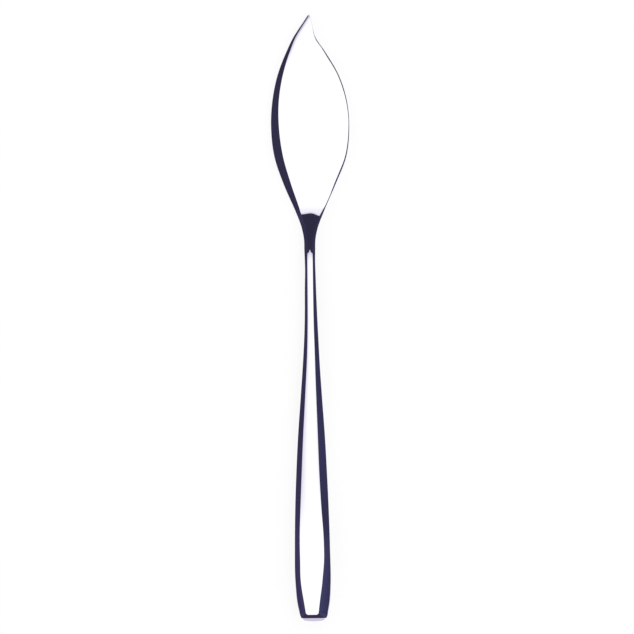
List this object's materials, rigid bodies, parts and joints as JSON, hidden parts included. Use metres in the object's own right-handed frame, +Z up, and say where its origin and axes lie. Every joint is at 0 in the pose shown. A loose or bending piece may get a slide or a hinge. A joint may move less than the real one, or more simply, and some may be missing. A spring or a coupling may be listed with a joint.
{
  "type": "fish knife",
  "caption": "Mirror-polished fish knife with a leaf-shaped blade, a blunt ground edge, a notched back near the tip, a slim neck and a flat-faceted hollow handle that widens to its butt.",
  "frame": {"origin": "on the resting plane, under the middle of the knife's outer box; the handle's back facet lies on that plane", "axes": "+Y from the butt to the tip, +X from the curved edge to the back of the blade, +Z up through the front of the knife"},
  "size_m": [0.0271, 0.21, 0.0072],
  "materials": {
    "polished_steel": "mirror-polished stainless steel",
    "filling_cement": "matt grey filling cement",
    "plain_steel": "plain drawn steel bar"
  },
  "bodies": {
    "root": {"blade": "polished_steel", "handle_front_shell": "polished_steel", "handle_back_shell": "polished_steel", "handle_cement": "filling_cement", "balance_weight": "plain_steel"}
  },
  "joints": []
}
